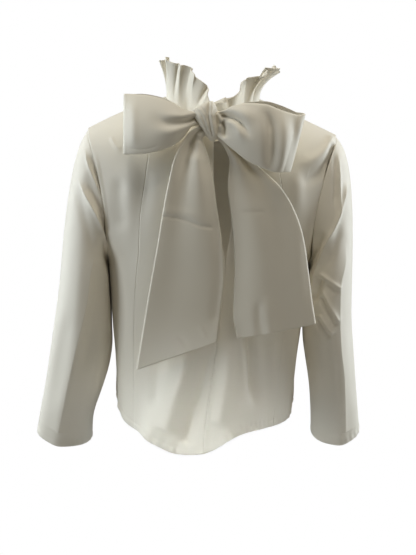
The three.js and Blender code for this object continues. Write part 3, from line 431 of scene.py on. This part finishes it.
cloth = {}
for node in ("back_left", "side_back_left", "back_right", "side_back_right"):
    piece = sewn_piece(node, body_inside, 3)
    press(piece, BACK_PRESSES + SEAM_PRESSES.get(node, []))
    hem(piece, -430, 1.1)
    cloth[node] = piece
cloth["front"] = sewn_piece("front", body_inside, 2)
press(cloth["front"], FRONT_PRESSES, face=-1)
hem(cloth["front"], -430, 0.6)
for node, side, presses in (("sleeve_left", 1, LEFT_SLEEVE_PRESSES), ("sleeve_right", -1, RIGHT_SLEEVE_PRESSES)):
    piece = sewn_piece(node, sleeve_inside(side), 3)
    densify(piece, presses)
    press(piece, presses)
    hem(piece, -480, 0.5)
    cloth[node] = piece
for node, piece in cloth.items():
    thicken(piece, BODY_WALL, -1)


# The tie

LEFT_LOOP = {
    "out": (16, 30, 44, 58, 80, 105, 130),
    "x_top": (18, 31, 44, 58, 80, 105, 131),
    "z_top": (-14, -11, -8, 0, 8, 12, 13),
    "x_foot": (16, 30, 43, 58, 80, 104, 128),
    "z_foot": (-29, -32, -48, -61, -70, -75, -77),
    "y_top": (109, 112, 113, 111, 105, 96, 86),
    "y_foot": (109, 113, 118, 123, 125, 122, 115),
    "apart": (4, 8, 15, 21, 24, 20, 11),
    "lift": (0, 0, 0, 1, 2, 2, 0),
}
RIGHT_LOOP = {
    "out": (2, 16, 32, 54, 78, 100, 124),
    "x_top": (0, -16, -32, -54, -78, -102, -128),
    "z_top": (-12, -8, 0, 4, 3, -5, -12),
    "x_foot": (0, -14, -32, -56, -80, -97, -108),
    "z_foot": (-38, -50, -64, -81, -91, -96, -96),
    "y_top": (110, 115, 121, 128, 131, 128, 120),
    "y_foot": (112, 120, 129, 138, 142, 140, 134),
    "apart": (3, 10, 20, 29, 34, 33, 24),
    "lift": (0, 0, 0, 2, 5, 8, 5),
}
LOOP_SWELL = 5
LOOP_PUFF = 7  # how much further the near layer swells out
LOOP_TURN = 0.26  # the share of a loop's length that goes round its end

LEFT_TAIL = {
    "down": (0, 12, 32, 58, 90, 125, 185, 250, 315, 375),
    "x_out": (17, 30, 44, 56, 63, 69, 78, 88, 98, 107.5),
    "x_in": (8, 15, 11, 3, -4, -9, -19, -24, -20, -16),
    "z_out": (-31, -37, -57, -83, -116, -150, -212, -276, -345, -412),
    "z_in": (-42, -51, -62, -84, -115, -148, -205, -262, -314, -362),
    "y_out": (110, 114, 119, 124, 127, 128, 127, 124, 120, 117),
    "y_in": (110, 116, 122, 126, 130, 132, 133, 131, 128, 127),
    "gather": (2, 6, 11, 11, 8, 6, 3, 2, 1, 1),
    "arch": (0, 0, 0, 1, 2, 2, 1, 0, 0, 0),
}
RIGHT_TAIL = {
    "down": (0, 18, 45, 80, 115, 160, 215, 265, 305),
    "x_out": (-9, -32, -66, -106, -127, -144, -154, -162, -169),
    "x_in": (-3, -18, -29, -27, -32, -38, -41, -41, -48),
    "z_out": (-38, -58, -86, -121, -152, -196, -248, -296, -331),
    "z_in": (-46, -60, -86, -120, -157, -204, -260, -314, -357),
    "y_out": (104, 103, 105, 111, 116, 117, 117, 116, 115),
    "y_in": (105, 106, 112, 119, 123, 125, 124, 122, 120),
    "gather": (2, 3, 5, 5, 4, 4, 3, 3, 3),
    "arch": (0, 0, 1, 3, 6, 8, 9, 9, 8),
}
TAIL_FOLDS = 1.5

# Their folds

LEFT_LOOP_FOLDS = [
    dict(path=[(22, -12), (48, -18), (64, -18), (84, -8)], width=(4, 9), depth=3.5, ends=(0.02, 0.6)),
    dict(path=[(24, -20), (45, -26), (68, -28), (100, -14)], width=(3.5, 12), depth=-5.0, ends=(0.02, 0.6)),
    dict(path=[(24, -26), (44, -36), (68, -43), (98, -42)], width=(4, 10), depth=3.0, ends=(0.02, 0.6)),
    dict(path=[(24, -30), (42, -46), (60, -56)], width=(3, 6), depth=-2.5, ends=(0.02, 0.5)),
    dict(path=[(133, -66), (111, -69), (94, -67), (76, -60)], width=(1.6, 1.6), depth=-0.7, edge=1.2),
    dict(path=[(122, 8), (119, -30), (118, -70)], width=(7, 7), depth=1.5),
]
RIGHT_LOOP_FOLDS = [
    dict(path=[(-8, -6), (-30, -6), (-52, -14), (-66, -28)], width=(4, 12), depth=4.5, ends=(0.02, 0.5)),
    dict(path=[(-12, -14), (-26, -17), (-39, -22), (-49, -32), (-60, -50)], width=(2.5, 6), depth=-6.5,
         ends=(0.05, 0.5), edge=1.4),
    dict(path=[(-22, -22), (-34, -30), (-42, -44), (-48, -60)], width=(4, 9), depth=4.5, ends=(0.1, 0.5)),
    dict(path=[(-13, -22), (-19, -34), (-20, -50)], width=(3.5, 4.5), depth=-9.0, ends=(0.15, 0.3), edge=1.5),
    dict(path=[(-6, -12), (-12, -22), (-13, -40)], width=(2.5, 3), depth=3.5, ends=(0.05, 0.3)),
    dict(path=[(-71, 1), (-84, -21), (-88, -48), (-90, -110)], width=(7, 10), depth=-7.5, ends=(0.3, 0.4)),
    dict(path=[(-100, 4), (-108, -47), (-104, -120)], width=(8, 10), depth=3.0, ends=(0.3, 0.3)),
    dict(path=[(-119, 0), (-124, -47), (-118, -120)], width=(6, 8), depth=-3.0, ends=(0.3, 0.3)),
]
LEFT_TAIL_FOLDS = [
    dict(path=[(20, -32), (30, -38), (42, -46)], width=(5, 6), depth=4.0, ends=(0.1, 0.3)),
    dict(path=[(16, -46), (26, -58), (24, -84)], width=(5, 12), depth=-6.0, ends=(0.2, 0.5)),
    dict(path=[(74, -168), (40, -172), (16, -180), (-8, -184)], width=(2.4, 2.4), depth=-2.0, ends=(0.02, 0.1),
         edge=1.1),
    dict(path=[(72, -160), (38, -163), (12, -170)], width=(7, 8), depth=1.0, ends=(0.1, 0.3)),
    dict(path=[(-12, -150), (-14, -200), (-18, -260), (-14, -340)], width=(8, 10), depth=-3.0, ends=(0.2, 0.1)),
    dict(path=[(44, -352), (32, -366), (24, -378)], width=(3, 4), depth=-1.4, ends=(0.1, 0.3)),
    dict(path=[(12, -334), (6, -346), (0, -358)], width=(3, 3), depth=1.0),
]
RIGHT_TAIL_FOLDS = [
    dict(path=[(-44, -160), (-62, -159), (-86, -158)], width=(2.2, 2.2), depth=-1.2, edge=1.1),
    dict(path=[(-78, -290), (-80, -320), (-86, -350)], width=(5, 7), depth=-2.6, ends=(0.4, 0.01)),
    dict(path=[(-92, -280), (-96, -320), (-100, -350)], width=(7, 9), depth=2.0, ends=(0.4, 0.01)),
    dict(path=[(-140, -180), (-150, -230), (-158, -300)], width=(6, 8), depth=-1.5),
]


EDGE_CROWD = 0.8  # how much closer together the lines of points are at the cloth's edges
EDGE_ROLL = 2.6  # how far in from a folded edge the cloth starts to turn over
EDGE_DROP = 1.9


def laid_cloth(name, rows, columns, place):
    """A grid of cloth. place gives where its points go, from how far each is along and across, both 0 to 1."""
    bm = bmesh.new()
    bm.loops.layers.uv.new("cloth")
    bmesh.ops.create_grid(bm, x_segments=columns, y_segments=rows, size=0.5, calc_uvs=True)
    piece = shown(name, bm)
    flat = spots_of(piece.data) * MM + 0.5
    across = flat[:, 0] - EDGE_CROWD * np.sin(2 * math.pi * flat[:, 0]) / (2 * math.pi)
    put_spots(piece.data, place(flat[:, 1], across))
    return piece


def edge_drop(across, width):
    """How far the cloth has turned over at its two folded edges."""
    inset = np.clip(np.minimum(across, 1 - across) * width / EDGE_ROLL, 0, 1)
    return EDGE_DROP * (1 - np.sqrt(1 - (1 - inset) ** 2))


LOOP_WIDTH = 88


def loop_place(table, folds):
    """Where a loop's cloth goes: out from the knot, round the end, and back behind the near layer."""
    start = table["out"][0]
    end = table["out"][-1]
    tip = end + table["apart"][-1] / 2
    side = np.sign(table["x_top"][-1])
    pace = (tip - start) / (1 - LOOP_TURN + 2 * LOOP_TURN / math.pi)
    rounding = 2 * LOOP_TURN * pace / math.pi

    def place(along, across):
        from_tip = np.abs(1 - 2 * along)
        angle = np.minimum(1, from_tip / LOOP_TURN) * math.pi / 2
        out = tip - rounding * (1 - np.cos(angle)) - pace * np.maximum(0, from_tip - LOOP_TURN)
        far = (1 - np.sin(angle) * np.sign(0.5 - along)) / 2
        top = [read(table, out, name) for name in ("x_top", "y_top", "z_top")]
        foot = [read(table, out, name) for name in ("x_foot", "y_foot", "z_foot")]
        x, y, z = (a + (b - a) * across for a, b in zip(top, foot))
        swell = 4 * across * (1 - across) * LOOP_SWELL * blend(start, start + 40, out)
        x = x + side * np.maximum(0, out - end)
        lift = sum(fold(x, z, **one) for one in folds) - edge_drop(across, LOOP_WIDTH)
        puff = 4 * across * (1 - across) * LOOP_PUFF * blend(start + 10, start + 60, out)
        y = y + swell * (1 - 2 * far) + (puff + lift) * (1 - far) - read(table, out, "apart") * far
        z = z + read(table, out, "lift") * far * (1 - across)
        return np.stack([x, y, z], 1)

    return place


TAIL_WIDTH = 115


def tail_place(table, folds):
    """Where a hanging end's cloth goes, from the knot down to its slanting end."""
    last = table["down"][-1]

    def place(along, across):
        down = last * along**1.15
        outer = [read(table, down, name) for name in ("x_out", "y_out", "z_out")]
        inner = [read(table, down, name) for name in ("x_in", "y_in", "z_in")]
        x, y, z = (a + (b - a) * across for a, b in zip(outer, inner))
        y = y - read(table, down, "gather") * (1 - np.cos(2 * math.pi * TAIL_FOLDS * across)) / 2
        y = y + read(table, down, "arch") * 4 * across * (1 - across)
        y = y + sum(fold(x, z, **one) for one in folds) - edge_drop(across, TAIL_WIDTH)
        return np.stack([x, y, z], 1)

    return place


# The standing part round the neck

STANDING = {
    "at": (0, 0.05, 0.1, 0.16, 0.23, 0.31, 0.4, 0.5, 0.6, 0.69, 0.77, 0.83, 0.88, 0.94, 1),
    "foot_x": (14, 25, 34, 45, 62, 74, 60, 0, -60, -74, -64, -54, -42, -26, -4),
    "foot_y": (98, 84, 70, 56, 38, 5, -34, -62, -34, 5, 36, 52, 66, 84, 98),
    "foot_z": (-18, -16, -11, -6, 4, 12, -20, -62, -20, 12, 4, -4, -6, -14, -18),
    "top_x": (5, 9, 20, 36, 60, 80, 76, 0, -82, -104, -90, -64, -48, -26, -2),
    "top_y": (100, 86, 74, 62, 46, 8, -44, -86, -44, 6, 42, 58, 68, 86, 100),
    "top_z": (4, 24, 41, 52, 66, 70, 48, 2, 46, 61, 58, 48, 35, 9, 2),
    "on": (0, 0, 0.3, 1, 1, 1, 1, 1, 1, 1, 1, 1, 0.3, 0, 0),
}
PLEAT_TURNS = {"at": (0, 0.05, 0.1, 0.15, 0.2, 0.8, 0.85, 0.9, 0.95, 1), "turns": (0, 0.4, 1, 1.6, 2.3, 12, 12.6, 13.2, 13.8, 14.2)}
NECK_HALF_WIDTH = 74
NECK_POINT = (5, 12)
BACK_NECK = (55, 32, 1.25)
FRONT_NECK = (-67, 74, 1.5)


def neckline():
    """The neckline that the tie is sewn to, as close points."""
    turn = np.linspace(0, math.pi / 2, 240)
    rows = []
    for deep, drop, dip in (BACK_NECK, FRONT_NECK):
        for side in (1, -1):
            x = side * NECK_HALF_WIDTH * np.sin(turn)
            y = NECK_POINT[0] + deep * np.cos(turn)
            z = NECK_POINT[1] - drop * np.maximum(np.cos(turn), 0) ** dip
            rows.append(np.stack([x, y, z], 1))
    return np.concatenate(rows)


def unit(rows):
    return rows / np.linalg.norm(rows, axis=1, keepdims=True)


def standing_place(along, across):
    """Where the standing part's cloth goes, along from the knot round the wearer's left and up from its foot."""

    def point(part, at):
        return np.stack([read(STANDING, at, part + axis) for axis in ("_x", "_y", "_z")], 1)

    line = neckline()
    free = point("foot", along)
    nearest = np.array([np.argmin(((line - spot) ** 2).sum(1)) for spot in free])
    sewn = blend(0, 1, read(STANDING, along, "on"))[:, None]
    foot = free + (line[nearest] + [0, 0, 0.6] - free) * sewn
    top = point("top", along)
    run = unit(point("foot", along + 0.01) - point("foot", along - 0.01))
    rise = unit(top - foot)
    out = unit(np.cross(rise, run))
    calm = blend(0, 0.07, along) * blend(0, 0.07, 1 - along)
    phase = 2 * math.pi * read(PLEAT_TURNS, along, "turns")
    uneven = 0.75 + 0.25 * np.sin(phase / 3.7 + 1)
    up = across
    swing = (2.4 * up + 5.4 * up * up) * calm * uneven
    spots = foot + (top - foot) * up[:, None]
    flare = (top - foot) * [1, 1, 0] * ((up**2.2 - up)[:, None] * sewn)
    spots += flare
    spots += out * (np.sin(phase + 0.9 * np.sin(phase / 2.3)) * swing)[:, None]
    spots += run * (0.6 * np.sin(2 * phase + 0.6) * swing)[:, None]
    spots += rise * (up * calm * 3 * np.sin(phase / 1.9 + 2))[:, None]
    return spots


# The knot

KNOT = {
    "z": (-54, -46, -36, -26, -16, -8, 0, 6),
    "left": (3, 9.5, 16, 23, 28.5, 29, 20, 7),
    "right": (-5, -9, -9.5, -9, -8.5, -7.5, -5, -1),
    "deep": (4, 10, 14, 16, 16, 14, 11, 5),
}
KNOT_Y = 108


KNOT_FOLDS = [
    dict(path=[(30, -10), (20, -25), (12, -40), (2, -50)], width=(1.8, 2), depth=-1.8, ends=(0.05, 0.1), edge=1.3),
    dict(path=[(26, -5), (15, -18), (8, -36), (0, -48)], width=(1.6, 1.8), depth=-1.5, ends=(0.05, 0.2), edge=1.3),
    dict(path=[(20, 0), (11, -12), (6, -26)], width=(1.5, 1.5), depth=-1.1, ends=(0.1, 0.4), edge=1.3),
    dict(path=[(24, -14), (15, -28), (8, -42)], width=(2.4, 2.6), depth=1.3),
    dict(path=[(6, 6), (7, -11), (3, -34), (-2, -48)], width=(1.6, 1.8), depth=-3.2, ends=(0.02, 0.1), edge=1.3),
    dict(path=[(1, 6), (1, -12), (-3, -34), (-6, -48)], width=(2.8, 3), depth=2.2, ends=(0.02, 0.1)),
    dict(path=[(-5, -4), (-6, -20), (-8, -36)], width=(1.6, 1.8), depth=-2.0, edge=1.3),
]


def knot_cloth():
    """The knot: the tie wrapped tightly round itself, with the ridges of its gathers."""
    bm = bmesh.new()
    bmesh.ops.create_uvsphere(bm, u_segments=168, v_segments=120, radius=1)
    piece = shown("knot_cloth", bm)
    ball = spots_of(piece.data) * MM
    turn = np.arctan2(ball[:, 1], ball[:, 0])
    level = np.arcsin(np.clip(ball[:, 2], -1, 1)) / math.pi + 0.5
    z = -54 + 60 * (0.5 - 0.5 * np.cos(math.pi * level))
    left = read(KNOT, z, "left")
    right = read(KNOT, z, "right")
    deep = read(KNOT, z, "deep")
    pole = np.sqrt(np.clip(4 * level * (1 - level), 0, 1)) ** 0.25
    x = (left + right) / 2 + np.cos(turn) * (left - right) / 2 * pole
    y = KNOT_Y + np.sin(turn) * deep * pole
    y = y + sum(fold(x, z, **one) for one in KNOT_FOLDS) * blend(0, 0.4, np.sin(turn))
    put_spots(piece.data, np.stack([x, y, z], 1))
    return piece


cloth["neck_tie"] = laid_cloth("neck_tie_cloth", 576, 30, standing_place)
cloth["loop_left"] = laid_cloth("loop_left_cloth", 190, 66, loop_place(LEFT_LOOP, LEFT_LOOP_FOLDS))
cloth["loop_right"] = laid_cloth("loop_right_cloth", 190, 66, loop_place(RIGHT_LOOP, RIGHT_LOOP_FOLDS))
cloth["tail_left"] = laid_cloth("tail_left_cloth", 180, 60, tail_place(LEFT_TAIL, LEFT_TAIL_FOLDS))
cloth["tail_right"] = laid_cloth("tail_right_cloth", 160, 66, tail_place(RIGHT_TAIL, RIGHT_TAIL_FOLDS))
for node in ("neck_tie", "loop_left", "loop_right", "tail_left", "tail_right"):
    thicken(cloth[node], TIE_WALL, 0)
cloth["knot"] = knot_cloth()


# Materials


def crepe_weave():
    """A node group: the fine pebbled face of crepe and its slow unevenness of colour."""
    group = bpy.data.node_groups.new("crepe weave", "ShaderNodeTree")
    group.interface.new_socket("Colour", in_out="INPUT", socket_type="NodeSocketColor")
    group.interface.new_socket("Warm colour", in_out="INPUT", socket_type="NodeSocketColor")
    group.interface.new_socket("Pebble size", in_out="INPUT", socket_type="NodeSocketFloat")
    group.interface.new_socket("Colour", in_out="OUTPUT", socket_type="NodeSocketColor")
    group.interface.new_socket("Roughness", in_out="OUTPUT", socket_type="NodeSocketFloat")
    group.interface.new_socket("Height", in_out="OUTPUT", socket_type="NodeSocketFloat")
    nodes, links = group.nodes, group.links
    given = nodes.new("NodeGroupInput")
    put = nodes.new("NodeGroupOutput")
    place = nodes.new("ShaderNodeTexCoord")
    slow = nodes.new("ShaderNodeTexNoise")
    slow.inputs["Scale"].default_value = 9
    slow.inputs["Detail"].default_value = 3
    links.new(place.outputs["Object"], slow.inputs["Vector"])
    tint = nodes.new("ShaderNodeMix")
    tint.data_type = "RGBA"
    links.new(slow.outputs["Fac"], tint.inputs["Factor"])
    links.new(given.outputs["Colour"], tint.inputs["A"])
    links.new(given.outputs["Warm colour"], tint.inputs["B"])
    pebble = nodes.new("ShaderNodeTexNoise")
    pebble.inputs["Detail"].default_value = 4
    links.new(place.outputs["Object"], pebble.inputs["Vector"])
    links.new(given.outputs["Pebble size"], pebble.inputs["Scale"])
    shade = nodes.new("ShaderNodeMapRange")
    shade.inputs["From Min"].default_value = 0.3
    shade.inputs["From Max"].default_value = 0.7
    shade.inputs["To Min"].default_value = 0.5
    shade.inputs["To Max"].default_value = 0.66
    links.new(pebble.outputs["Fac"], shade.inputs["Value"])
    links.new(tint.outputs["Result"], put.inputs["Colour"])
    links.new(shade.outputs["Result"], put.inputs["Roughness"])
    links.new(pebble.outputs["Fac"], put.inputs["Height"])
    return group


WEAVE = crepe_weave()


def cloth_finish(name, colour, warm, pebble, sheen):
    material = bpy.data.materials.new(name)
    material.use_nodes = True
    nodes, links = material.node_tree.nodes, material.node_tree.links
    shader = nodes["Principled BSDF"]
    weave = nodes.new("ShaderNodeGroup")
    weave.node_tree = WEAVE
    weave.inputs["Colour"].default_value = (*colour, 1)
    weave.inputs["Warm colour"].default_value = (*warm, 1)
    weave.inputs["Pebble size"].default_value = pebble
    bump = nodes.new("ShaderNodeBump")
    bump.inputs["Strength"].default_value = 0.18
    bump.inputs["Distance"].default_value = 0.0002
    links.new(weave.outputs["Colour"], shader.inputs["Base Color"])
    links.new(weave.outputs["Roughness"], shader.inputs["Roughness"])
    links.new(weave.outputs["Height"], bump.inputs["Height"])
    links.new(bump.outputs["Normal"], shader.inputs["Normal"])
    shader.inputs["Sheen Weight"].default_value = sheen
    shader.inputs["Sheen Roughness"].default_value = 0.4
    return material


BODY_FINISH = cloth_finish("ivory crepe", (0.84, 0.79, 0.675), (0.82, 0.765, 0.64), 900, 0.15)
TIE_FINISH = cloth_finish("ivory crepe, folded double", (0.83, 0.78, 0.66), (0.81, 0.755, 0.625), 900, 0.15)

TIE_NODES = ("neck_tie", "knot", "loop_left", "loop_right", "tail_left", "tail_right")
for node, piece in cloth.items():
    in_tie = node in TIE_NODES
    piece.data.materials.clear()
    piece.data.materials.append(TIE_FINISH if in_tie else BODY_FINISH)
    smooth_faces(piece)
    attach(piece, "root")
    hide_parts(node)


# The studio

scene = bpy.context.scene
scene.view_settings.view_transform = "Standard"



def soft_light(name, place, target, size, power, colour, spread=90):
    lamp = bpy.data.lights.new(name, "AREA")
    lamp.shape = "RECTANGLE"
    lamp.size, lamp.size_y = size
    lamp.energy = power
    lamp.spread = math.radians(spread)
    lamp.color = colour
    holder = bpy.data.objects.new(name, lamp)
    holder.location = place
    holder.rotation_euler = (Vector(target) - Vector(place)).to_track_quat("-Z", "Y").to_euler()
    scene.collection.objects.link(holder)


COOL = (0.87, 0.94, 1)
WARM = (1, 0.95, 0.86)
soft_light("left window", (1.5, -0.7, 0.1), (0, 0, -0.3), (0.6, 1.8), 3.6, COOL)
soft_light("left edge", (1.7, -0.3, 0), (0, 0, -0.3), (0.6, 1.8), 3.3, COOL)
soft_light("left fill", (1.65, 0.5, 0), (0, 0, -0.3), (0.6, 1.6), 3.6, COOL)
soft_light("right window", (-1.5, -0.7, 0.1), (0, 0, -0.3), (0.6, 1.8), 5.4, COOL)
soft_light("right edge", (-1.7, -0.3, 0), (0, 0, -0.3), (0.6, 1.8), 3.6, COOL)
soft_light("right fill", (-1.3, 1.1, 0.2), (0, 0, -0.3), (0.8, 1.2), 1.1, WARM)
soft_light("high light", (0, 0.7, 1.5), (0, 0, -0.2), (0.8, 0.5), 1.6, WARM)
soft_light("top light", (0, 0.15, 1.6), (0, 0, -0.2), (0.8, 0.5), 2.4, WARM)
soft_light("low fill", (0, 1.2, -1.2), (0, 0, -0.3), (1.0, 0.6), 0.5, WARM)
soft_light("back light", (0.35, 1.5, -0.1), (0, 0.1, -0.57), (0.25, 0.15), 0.13, COOL, 15)

world = bpy.data.worlds.new("studio")
scene.world = world
world.use_nodes = True
nodes, links = world.node_tree.nodes, world.node_tree.links
nodes.clear()
backdrop = nodes.new("ShaderNodeBackground")
backdrop.inputs["Color"].default_value = (1, 1, 1, 1)
fill = nodes.new("ShaderNodeBackground")
fill.inputs["Color"].default_value = (1, 0.97, 0.91, 1)
fill.inputs["Strength"].default_value = 0.02
seen = nodes.new("ShaderNodeLightPath")
either = nodes.new("ShaderNodeMixShader")
put = nodes.new("ShaderNodeOutputWorld")
links.new(seen.outputs["Is Camera Ray"], either.inputs["Fac"])
links.new(fill.outputs["Background"], either.inputs[1])
links.new(backdrop.outputs["Background"], either.inputs[2])
links.new(either.outputs["Shader"], put.inputs["Surface"])


FLOOR_Z = -1.6


def pale_floor():
    bm = bmesh.new()
    bmesh.ops.create_circle(bm, cap_ends=True, segments=96, radius=1.25)
    bmesh.ops.translate(bm, verts=bm.verts, vec=(0, 0, FLOOR_Z))
    floor = shown("floor", bm)
    material = bpy.data.materials.new("pale floor")
    material.use_nodes = True
    nodes, links = material.node_tree.nodes, material.node_tree.links
    shader = nodes["Principled BSDF"]
    shader.inputs["Roughness"].default_value = 0.8
    cloudy = nodes.new("ShaderNodeTexNoise")
    cloudy.inputs["Scale"].default_value = 3
    place = nodes.new("ShaderNodeTexCoord")
    tint = nodes.new("ShaderNodeMix")
    tint.data_type = "RGBA"
    tint.inputs["A"].default_value = (0.82, 0.82, 0.81, 1)
    tint.inputs["B"].default_value = (0.86, 0.86, 0.85, 1)
    links.new(place.outputs["Object"], cloudy.inputs["Vector"])
    links.new(cloudy.outputs["Fac"], tint.inputs["Factor"])
    links.new(tint.outputs["Result"], shader.inputs["Base Color"])
    links.new(tint.outputs["Result"], shader.inputs["Emission Color"])
    shader.inputs["Emission Strength"].default_value = 0.2
    floor.data.materials.append(material)


pale_floor()

# The camera stands behind the wearer at the height of the bow and looks slightly down, a little rolled.
camera = bpy.data.cameras.new("camera")
camera.sensor_width = 36
camera.lens = 36 * 1090.9 / 555
camera.clip_start = 0.05
viewer = bpy.data.objects.new("camera", camera)
scene.collection.objects.link(viewer)
LOOK_AT = Vector((0, 0, -0.281))
DOWN_TILT = math.radians(9)
ROLL = math.radians(1.6)
viewer.location = LOOK_AT + Vector((0, math.cos(DOWN_TILT), math.sin(DOWN_TILT))) * 1.8
looking = Matrix.Rotation(math.pi, 3, "Z") @ Matrix.Rotation(math.radians(90) - DOWN_TILT, 3, "X")
viewer.rotation_euler = (looking @ Matrix.Rotation(ROLL, 3, "Z")).to_euler()
scene.camera = viewer
